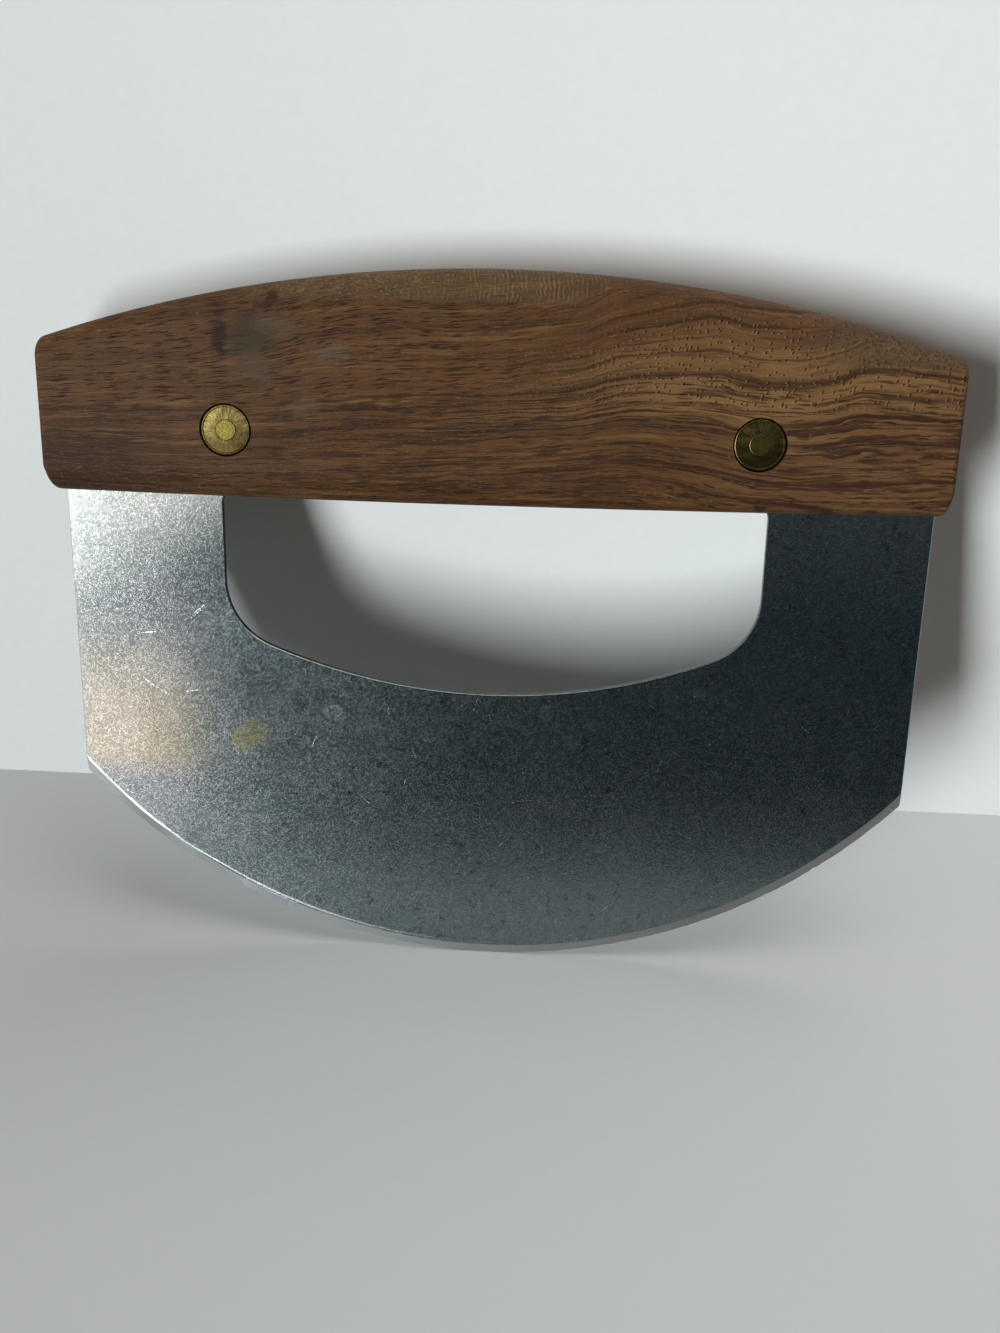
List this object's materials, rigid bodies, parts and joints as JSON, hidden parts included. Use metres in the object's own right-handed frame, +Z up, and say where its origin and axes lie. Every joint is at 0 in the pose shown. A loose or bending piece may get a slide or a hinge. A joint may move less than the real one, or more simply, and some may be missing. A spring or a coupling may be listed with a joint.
{
  "type": "bowl chopper",
  "caption": "Bowl chopper: a rocking steel blade with a finger opening, set in the kerf of a crowned walnut grip and held by brass compression rivets.",
  "frame": {"origin": "the lowest point of the cutting edge, midway along the blade and on its middle plane", "axes": "+X along the grip towards its right end, +Y from the front to the back, +Z up from the edge to the grip"},
  "size_m": [0.1524, 0.019, 0.1257],
  "materials": {
    "walnut": "oiled walnut, worn, with open pores",
    "blade_steel": "satin, finely scratched in all directions",
    "rivet_brass": "turned brass, slightly tarnished"
  },
  "bodies": {
    "root": {"grip": "walnut", "blade": "blade_steel", "rivet_tube_left": "rivet_brass", "rivet_tube_right": "rivet_brass", "rivet_pin_left": "rivet_brass", "rivet_pin_right": "rivet_brass"}
  },
  "joints": []
}
